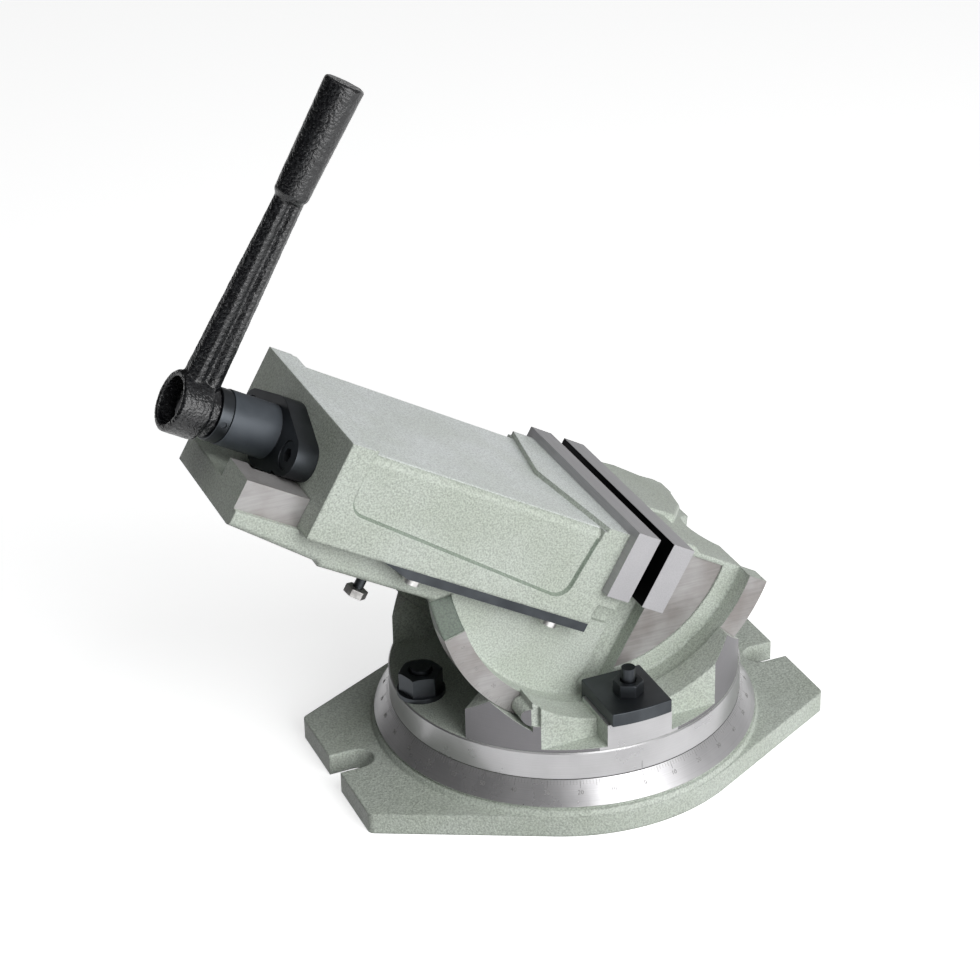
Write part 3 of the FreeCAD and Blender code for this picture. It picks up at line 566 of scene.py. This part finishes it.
def turntable_is_bare(p, n):
    r = math.hypot(p.x, p.y)
    outward = (n.x * p.x + n.y * p.y) / max(r, 1)
    on_rim = r > rim_from_r and outward > 0.65
    on_pad = abs(p.y) > seat_side - 0.2 and abs(p.x) < pad_half and p.z > pad_top
    on_seat = abs(math.hypot(p.x, p.z - tilt_axis_z) - seat_r) < 0.3 and abs(p.y) < seat_side
    return on_rim or on_pad or on_seat or p.z < swivel_z + 0.2


# Upright cheek faces beyond the pads and outside the rim radius: these get the painted shade.
def turntable_is_dull(p, n):
    on_cheek = p.z > disc_top and abs(p.x) > pad_half + 2.9
    return math.hypot(p.x, p.y) > rim_from_r and on_cheek and abs(n.z) < 0.1


bare_faces(turntable, 1, turntable_is_bare)
bare_faces(turntable, 2, turntable_is_dull)
soften(turntable, 0.7 * MM)
shade(turntable)
belongs(turntable, "turntable", "casting_paint", "turntable_casting")

# Swivel joint: a thin dark line of old oil where the turntable sits on the base, and a short
# index mark on each side of the turntable, cut and filled as the scale is.
joint_oil = finish_material("oil in the joint", (0.010, 0.010, 0.010), 0.0, 0.45)
seam_r, seam_z, seam_high = 88.53, 25.55, 0.7
work = bmesh.new()
bmesh.ops.create_cone(work, cap_ends=False, segments=240, radius1=seam_r * MM,
                      radius2=seam_r * MM, depth=seam_high * MM)
bmesh.ops.translate(work, vec=Vector((0, 0, seam_z)) * MM, verts=work.verts)
swivel_seam = joined("swivel_seam", [mesh_from(work, "seam")], joint_oil)
belongs(swivel_seam, "turntable", "casting_paint")

index_size = Vector((0.08, 0.3, 4.0)) * MM
index_place = Vector((swivel_r, 0, 28.4)) * MM
index_meshes = []
for side in (-90, 90):
    index_meshes.append(marks(1, 0.0, math.radians(side), index_size, index_place, (0, 0, 0),
                              scale_ink))
swivel_index = joined("swivel_index", index_meshes, scale_ink)
belongs(swivel_index, "turntable", "casting_paint")


# Swivel clamps and tilt clamps: bolts, nuts, washers and plates of steel, blackened in hot
# salts. The bolt ends and studs carry rolled threads.
def blackened(name, shade_low, shade_high, rough):
    steel = finish_material(name, shade_low, 0.9, rough)
    cloud = grain(steel, 60, 4.0)
    tint(steel, cloud, shade_low, shade_high, 0.35, 0.7)
    relief(steel, grain(steel, 1500, 2.0), 0.12, 0.08 * MM)
    rough_from(steel, cloud, rough - 0.06, rough + 0.10)
    return steel


black_steel = blackened("black oxide steel", (0.045, 0.050, 0.056), (0.075, 0.082, 0.09), 0.36)


def threaded_rod(radius, pitch, depth, start, end, steps=36, chamfer=1.0):
    length = end - start
    rows = max(2, int(length / pitch * 8))
    work = bmesh.new()
    rings = []
    for i in range(rows + 1):
        z = start + length * i / rows
        ring = []
        from_end = min(z - start, end - z)
        for j in range(steps):
            a = 2 * math.pi * j / steps
            phase = (z / pitch - j / steps) % 1.0
            tooth = abs(phase * 2 - 1)
            r = radius - depth * min(1.0, max(0.0, 1.35 * tooth - 0.1))
            if from_end < chamfer:
                r = min(r, radius - depth * (1 - from_end / chamfer))
            ring.append(work.verts.new((r * math.cos(a), r * math.sin(a), z)))
        rings.append(ring)
    for low, high in zip(rings, rings[1:]):
        for j in range(steps):
            k = (j + 1) % steps
            work.faces.new((low[j], low[k], high[k], high[j]))
    work.faces.new(list(reversed(rings[0])))
    work.faces.new(rings[-1])
    return mesh_from(work, "thread")


stud_low, stud_high = 44.6, 74.1
stud_side = 73.25
stud_meshes = []
for side in (-1, 1):
    rod = threaded_rod(4.0 * MM, 1.25 * MM, 0.65 * MM, stud_low * MM, stud_high * MM)
    rod.transform(Matrix.Translation((0, side * stud_side * MM, 0)))
    stud_meshes.append(rod)
tilt_studs = joined("tilt_stud_threads", stud_meshes, black_steel)
shade(tilt_studs, 50)
belongs(tilt_studs, "turntable", "black_steel", "tilt_studs")


def black_piece(name, new_name, width, body):
    made = clean_copy(name, new_name)
    soften(made, width * MM)
    made.data.materials.append(black_steel)
    shade(made)
    belongs(made, body, "black_steel", name)


for name, width in (("tilt_clamp_near", 0.6), ("tilt_clamp_far", 0.6), ("tilt_nuts", 0.25),
                    ("swivel_nuts", 0.3), ("swivel_washers", 0.3)):
    black_piece(name, name + "_forged", width, "turntable")
bolt_ring_r = 77.5
bolt_low, bolt_high = 14.5, 54.3
head_size = Vector((20, 20, 7)) * MM
head_mid_z = 11.8
bolt_meshes = []
for side in (-1, 1):
    rod = threaded_rod(6.0 * MM, 1.75 * MM, 0.85 * MM, bolt_low * MM, bolt_high * MM)
    rod.transform(Matrix.Translation((side * bolt_ring_r * MM, 0, 0)))
    bolt_meshes.append(rod)
    work = bmesh.new()
    bmesh.ops.create_cube(work, size=1)
    bmesh.ops.scale(work, vec=head_size, verts=work.verts)
    head_place = Vector((side * bolt_ring_r, 0, head_mid_z)) * MM
    bmesh.ops.translate(work, vec=head_place, verts=work.verts)
    bmesh.ops.bevel(work, geom=work.edges[:], offset=0.6 * MM, segments=2, profile=0.5,
                    affect="EDGES")
    bolt_meshes.append(mesh_from(work, "head"))
tee_bolts = joined("swivel_t_bolt_threads", bolt_meshes, black_steel)
shade(tee_bolts, 50)
belongs(tee_bolts, "turntable", "black_steel", "swivel_t_bolts")

# Bed: the iron casting with the drum, the two seat flanges, the guide ways and the fixed jaw.
# Ways, seat flanges and the cheek beside the fixed jaw are milled bare.
tilt = math.radians(30)
to_vise = Matrix.Rotation(-tilt, 4, "Y") @ Matrix.Translation((0, 0, -tilt_axis_z * MM))
from_vise = to_vise.inverted()
milled_iron = finish_material("milled iron", (0.37, 0.36, 0.355), 0.35, 0.42)
milled_stain = grain(milled_iron, 45, 6.0)
milled_base = tint(milled_iron, milled_stain, (0.27, 0.25, 0.24), (0.40, 0.39, 0.388), 0.32, 0.62)
milled_lines = grain(milled_iron, 900, 3.0, stretch=(0.06, 1, 1), turned=(0, -tilt, 0))
tint(milled_iron, milled_lines, (0.88, 0.88, 0.88), (1, 1, 1), 0.35, 0.6, over=milled_base)
relief(milled_iron, milled_lines, 0.18, 0.1 * MM)
rough_from(milled_iron, milled_stain, 0.36, 0.52)
bed = clean_copy("bed_casting", "bed_body")
bed.data.materials.append(sage_paint)
bed.data.materials.append(milled_iron)
# The unmachined stubs at the upper ends of the seat flanges take a much darker copy of the sage
# paint as painted shade.
stub_shade_paint = hammered_paint("sage paint darkened as painted shade", (0.13, 0.165, 0.135), 0.5, 0.5)
bed.data.materials.append(stub_shade_paint)
side_bare_to_x = 12
jaw_x = 38
way_z, way_foot_z, way_side = -23, -37.3, 44
cheek_r, cheek_side = 70.3, 46
flange_r, flange_foot_r = 90, 79.3
flange_in, flange_side = 45.8, 57.6
ramp_from, ramp_to, ramp_end = 214.5, 225.7, 225.8
ramp_span, ramp_side, ramp_in = 10.8, 56.9, 9.2
flange_end = 20
work = bmesh.new()
work.from_mesh(bed.data)
bmesh.ops.bisect_plane(work, geom=work.verts[:] + work.edges[:] + work.faces[:],
                       plane_co=from_vise @ Vector((side_bare_to_x * MM, 0, 0)),
                       plane_no=from_vise.to_3x3() @ Vector((1, 0, 0)))
work.to_mesh(bed.data)
work.free()


def on_drum(point):
    q = to_vise @ point / MM
    return q, math.hypot(q.x, q.z), math.degrees(math.atan2(q.z, q.x)) % 360


for v in bed.data.vertices:
    q, r, angle = on_drum(v.co)
    if ramp_from < angle < ramp_to and r > flange_foot_r and abs(q.y) > ramp_side - 0.9:
        q.y = math.copysign(ramp_side - ramp_in * (ramp_end - angle) / ramp_span, q.y)
        v.co = from_vise @ (q * MM)


def bed_is_bare(p, n):
    q, r, angle = on_drum(p * MM)
    if abs(q.y) > flange_side and r > flange_foot_r - 0.3:
        return True
    if r > flange_r and abs(q.y) > flange_in and (angle > ramp_to - 0.1 or angle < flange_end):
        return True
    if abs(abs(q.y) - cheek_side) < 0.1 and abs(n.y) > 0.9 and r < cheek_r and q.x > jaw_x:
        return True
    on_top = q.z > way_z - 0.1
    on_side = abs(abs(q.y) - way_side) < 0.1 and q.x < side_bare_to_x + 0.1 and abs(n.y) > 0.9
    return q.x < jaw_x + 0.1 and way_foot_z < q.z < way_z + 0.1 and (on_top or on_side)


# Faces of the flange stubs that get the painted shade.
def bed_is_corner(p, n):
    q, r, angle = on_drum(p * MM)
    return r > flange_foot_r and ramp_from < angle < ramp_end + 0.1 and abs(q.y) < ramp_side + 0.3


bare_faces(bed, 2, bed_is_corner)
bare_faces(bed, 1, bed_is_bare)
soften(bed, 0.7 * MM)
shade(bed)
belongs(bed, "vise_bed", "casting_paint", "bed_casting")

# Tilt scale: lines and figures cut into the milled side of the near seat flange, as on the
# swivel scale.
tilt_mark_r, tilt_figure_r = 89.9, 83.6
tilt_mark_from, tilt_figure_from = -134, -129
tilt_figure_high = 2.6
drum_meshes = []
for count, step, length, wide in ((101, 1, 1.8, 0.12), (21, 5, 2.7, 0.16), (11, 10, 3.5, 0.2)):
    drum_meshes.append(marks(count, math.radians(step), math.radians(tilt_mark_from),
                             Vector((length, wide, mark_thk)) * MM,
                             Vector((tilt_mark_r - length / 2, 0, 0)) * MM, (0, 0, 0), scale_ink))
axes = Matrix((Vector((0, 1, 0)), Vector((-1, 0, 0)), Vector((0, 0, 1)))).transposed().to_4x4()
place = Matrix.Translation((tilt_figure_r * MM, 0, 0.01 * MM))
for tenth in range(10):
    turn_z = Matrix.Rotation(math.radians(tilt_figure_from + tenth * 10), 4, "Z")
    drum_meshes.append(figures(str(tenth * 10), tilt_figure_high * MM, turn_z @ place @ axes))
stand_up = Matrix.Translation((0, -57.7 * MM, 0)) @ Matrix.Rotation(math.pi / 2, 4, "X")
for mesh in drum_meshes:
    mesh.transform(from_vise @ stand_up)
tilt_scale = joined("tilt_scale", drum_meshes, scale_ink)
belongs(tilt_scale, "vise_bed", "casting_paint")

# Screw nut and its two bolts: a cast iron block on the floor of the bed slot. The long bolts
# come up through the bed from below.
def coat_node(name, metal):
    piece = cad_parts[name]
    piece.data.materials.clear()
    piece.data.materials.append(metal)


coat_node("screw_nut", milled_iron)
nut_x, nut_bolt_side = -93.5, 17
nut_bolt_low, nut_bolt_high = -65.6, -27.2
hex_r, hex_high, hex_mid_z = 5.77, 4.0, -67.8
nut_bolt_meshes = []
for side in (-1, 1):
    rod = threaded_rod(3.0 * MM, 1.0 * MM, 0.5 * MM, nut_bolt_low * MM, nut_bolt_high * MM, 24, 0.5)
    rod.transform(from_vise @ Matrix.Translation((nut_x * MM, side * nut_bolt_side * MM, 0)))
    nut_bolt_meshes.append(rod)
    work = bmesh.new()
    bmesh.ops.create_cone(work, cap_ends=True, segments=6, radius1=hex_r * MM, radius2=hex_r * MM,
                          depth=hex_high * MM)
    bmesh.ops.bevel(work, geom=work.edges[:], offset=0.35 * MM, segments=2, profile=0.5,
                    affect="EDGES")
    head = mesh_from(work, "head")
    head_place = Matrix.Translation(Vector((nut_x, side * nut_bolt_side, hex_mid_z)) * MM)
    head.transform(from_vise @ head_place @ Matrix.Rotation(math.radians(10), 4, "Z"))
    nut_bolt_meshes.append(head)
nut_bolts = joined("nut_bolt_threads", nut_bolt_meshes, black_steel)
zinc_steel = finish_material("zinc plated steel", (0.55, 0.54, 0.53), 0.7, 0.35)
tint(zinc_steel, grain(zinc_steel, 260, 4.0), (0.36, 0.35, 0.34), (0.62, 0.61, 0.60))
nut_bolts.data.materials.append(zinc_steel)
for face in nut_bolts.data.polygons:
    if (to_vise @ face.center).z < (nut_bolt_low - 0.1) * MM:
        face.material_index = 1
shade(nut_bolts, 50)
belongs(nut_bolts, "vise_bed", "black_steel", "nut_bolts")


# Jaw plates: hardened steel, ground on every face, with the gripping faces painted near black as
# painted shade in the gap between the jaws.
# Each is held to its jaw by two sunk socket screws.
ground_steel = finish_material("ground steel", (0.44, 0.435, 0.45), 0.45, 0.40)
ground_stain = grain(ground_steel, 25, 4.0)
ground_base = tint(ground_steel, ground_stain, (0.39, 0.385, 0.40), (0.46, 0.455, 0.47))
ground_lines = grain(ground_steel, 1600, 2.0, stretch=(1, 0.04, 1))
tint(ground_steel, ground_lines, (0.90, 0.90, 0.90), (1, 1, 1), 0.35, 0.6, over=ground_base)
relief(ground_steel, ground_lines, 0.12, 0.05 * MM)
rough_from(ground_steel, ground_stain, 0.36, 0.46)
gap_shade_black = blackened("gripping face blackened as painted gap shade", (0.006, 0.006, 0.008), (0.012, 0.012, 0.015), 0.5)
for name, body, grip_way in (("fixed_jaw_plate", "vise_bed", -1), ("moving_jaw_plate", "slide", 1)):
    made = clean_copy(name, name + "_ground")
    made.data.materials.append(ground_steel)
    made.data.materials.append(gap_shade_black)
    grip_side = from_vise.to_3x3() @ Vector((grip_way, 0, 0))
    for face in made.data.polygons:
        if face.normal.dot(grip_side) > 0.9:
            face.material_index = 1
    soften(made, 0.35 * MM)
    shade(made)
    belongs(made, body, "ground_steel", name)
for name in ("fixed_jaw_screws", "moving_jaw_screws"):
    coat_node(name, black_steel)

# Slide: the moving jaw, a hollow iron casting with a framed panel on each side and a raised
# band and a pointed step on top. The top is filled and painted smooth, and its paint is made
# much paler than the sides as painted light falling on the top.
slide = clean_copy("slide_casting", "slide_body")
smooth_paint_and_painted_light = hammered_paint("smooth sage paint lightened as painted light", (0.80, 0.845, 0.835), 0.10, 0.34)
slide.data.materials.append(sage_paint)
slide.data.materials.append(smooth_paint_and_painted_light)
slide.data.materials.append(milled_iron)
# The walls round each side panel take a darker copy of the sage paint: painted shade in the groove.
panel_groove_shade_paint = hammered_paint("sage paint darkened as painted groove shade", (0.26, 0.31, 0.26), 0.5, 0.45)
slide.data.materials.append(panel_groove_shade_paint)
up_vise = from_vise.to_3x3() @ Vector((0, 0, 1))
smooth_from_z = 8.5
panel_in, panel_out, panel_low = 54.8, 56.8, -29
panel_left, panel_right = -145, -4
panel_slope = 1.2
foot_z = -36.7


# Upward faces of the top, which take the paler paint as painted light.
def slide_is_smooth(p, n):
    q = to_vise @ (p * MM) / MM
    return q.z > smooth_from_z and n.dot(up_vise) > 0.85


# Walls of the side panels, which get the painted groove shade.
def slide_is_corner(p, n):
    q = to_vise @ (p * MM) / MM
    in_frame = panel_low < q.z < smooth_from_z and panel_left < q.x < panel_right
    return in_frame and panel_in < abs(q.y) < panel_out and abs(n.y) < 0.3


def slide_is_bare(p, n):
    q = to_vise @ (p * MM) / MM
    return q.z < foot_z or abs(q.y) < way_side + 0.2 and q.z < way_z + 0.2


bare_faces(slide, 1, slide_is_smooth)
bare_faces(slide, 2, slide_is_bare)
bare_faces(slide, 3, slide_is_corner)
# The outer edges of these shaded walls are pushed out, so that the walls slope and their painted
# shade shows as a line.
panel_rim = {}
for face in slide.data.polygons:
    if face.material_index == 3:
        for i in face.vertices:
            panel_rim[i] = panel_rim.get(i, Vector()) + face.normal
for i, way in panel_rim.items():
    q = to_vise @ slide.data.vertices[i].co / MM
    if abs(q.y) > panel_out - 0.2 and q.z < smooth_from_z - 2.5:
        slide.data.vertices[i].co -= way.normalized() * panel_slope * MM
soften(slide, 0.6 * MM)
shade(slide)
belongs(slide, "slide", "casting_paint", "slide_casting")

# Guide strips: two black steel bars, each screwed under the slide with two bright screws, so
# that it can't lift off the ways.
bright_steel = finish_material("bright turned steel", (0.72, 0.71, 0.70), 0.9, 0.28)
tint(bright_steel, grain(bright_steel, 200, 4.0), (0.60, 0.59, 0.58), (0.76, 0.75, 0.74))
for name in ("guide_strip_near", "guide_strip_far"):
    black_piece(name, name + "_bar", 0.3, "slide")
coat_node("strip_screws", bright_steel)

# Screw bearing: a turned steel barrel with an eared flange, blackened. Two socket screws hold
# the flange to the end of the slide.
flange_from_x = -164
bearing = clean_copy("screw_bearing", "screw_bearing_turned")
soften(bearing, 0.5 * MM)
barrel_steel = blackened("black turned steel", (0.060, 0.070, 0.082), (0.085, 0.098, 0.113), 0.50)
barrel_steel.node_tree.nodes["Principled BSDF"].inputs["Metallic"].default_value = 0.4
bearing.data.materials.append(barrel_steel)
bearing.data.materials.append(black_steel)
for face in bearing.data.polygons:
    if (to_vise @ face.center).x > flange_from_x * MM:
        face.material_index = 1
shade(bearing)
belongs(bearing, "slide", "black_steel", "screw_bearing")
coat_node("bearing_screws", black_steel)

# Lead screw: a square-ended bar with a coarse thread of 4 mm pitch, turned bright, and the
# black collar pinned on it behind the crank.
screw_z = -12
thread_from, thread_to = -133, -13
screw_axis = Matrix.Translation((0, 0, screw_z * MM)) @ Matrix.Rotation(math.pi / 2, 4, "Y")
screw_thread = threaded_rod(9.0 * MM, 4.0 * MM, 2.0 * MM, thread_from * MM, thread_to * MM, 40, 1.5)
screw_thread.transform(from_vise @ screw_axis)
screw_rest = clean_copy("lead_screw", "lead_screw_plain")
work = bmesh.new()
work.from_mesh(screw_rest.data)
cut_at = from_vise @ Vector(((thread_from - 0.2) * MM, 0, screw_z * MM))
along = from_vise.to_3x3() @ Vector((1, 0, 0))
cut = bmesh.ops.bisect_plane(work, geom=work.verts[:] + work.edges[:] + work.faces[:],
                             plane_co=cut_at, plane_no=along, clear_outer=True)
rim = [e for e in cut["geom_cut"] if isinstance(e, bmesh.types.BMEdge)]
bmesh.ops.contextual_create(work, geom=rim)
plain = mesh_from(work, "plain")
bpy.data.objects.remove(screw_rest)
lead_screw = joined("lead_screw_thread", [screw_thread, plain], ground_steel)
shade(lead_screw, 40)
belongs(lead_screw, "screw", "ground_steel", "lead_screw")
black_piece("thrust_collar", "thrust_collar_turned", 0.4, "screw")
coat_node("collar_pin", black_steel)

# Crank: one rough iron casting, hub, fluted arm and round grip, dipped in thick black gloss
# paint that stands in small lumps.
crank = clean_copy("crank_handle", "crank_casting")
thicken = crank.modifiers.new("remesh", "REMESH")
thicken.mode = "VOXEL"
thicken.voxel_size = 0.6 * MM
crank_mesh = plain_mesh(crank)
crank.modifiers.clear()
crank.data = crank_mesh
smooth_passes = 3
lump_scales = ((260, 0.12), (900, 0.09))
work = bmesh.new()
work.from_mesh(crank_mesh)
for i in range(smooth_passes):
    bmesh.ops.smooth_vert(work, verts=work.verts, factor=0.5, use_axis_x=True, use_axis_y=True,
                          use_axis_z=True)
work.normal_update()
for v in work.verts:
    lump = sum(noise.noise(v.co * scale) * high for scale, high in lump_scales)
    v.co += v.normal * lump * MM
work.to_mesh(crank_mesh)
work.free()
gloss_black = finish_material("thick black gloss paint", (0.008, 0.008, 0.009), 0.0, 0.2)
gloss_black.node_tree.nodes["Principled BSDF"].inputs["Specular IOR Level"].default_value = 0.58
gloss_spots = grain(gloss_black, 760, 2.0)
tint(gloss_black, gloss_spots, (0.003, 0.003, 0.004), (0.016, 0.017, 0.019), 0.40, 0.68)
relief(gloss_black, gloss_spots, 0.75, 0.7 * MM)
rough_from(gloss_black, gloss_spots, 0.14, 0.30)
crank_mesh.materials.clear()
crank_mesh.materials.append(gloss_black)
for face in crank_mesh.polygons:
    face.use_smooth = True
belongs(crank, "screw", "crank_paint", "crank_handle")
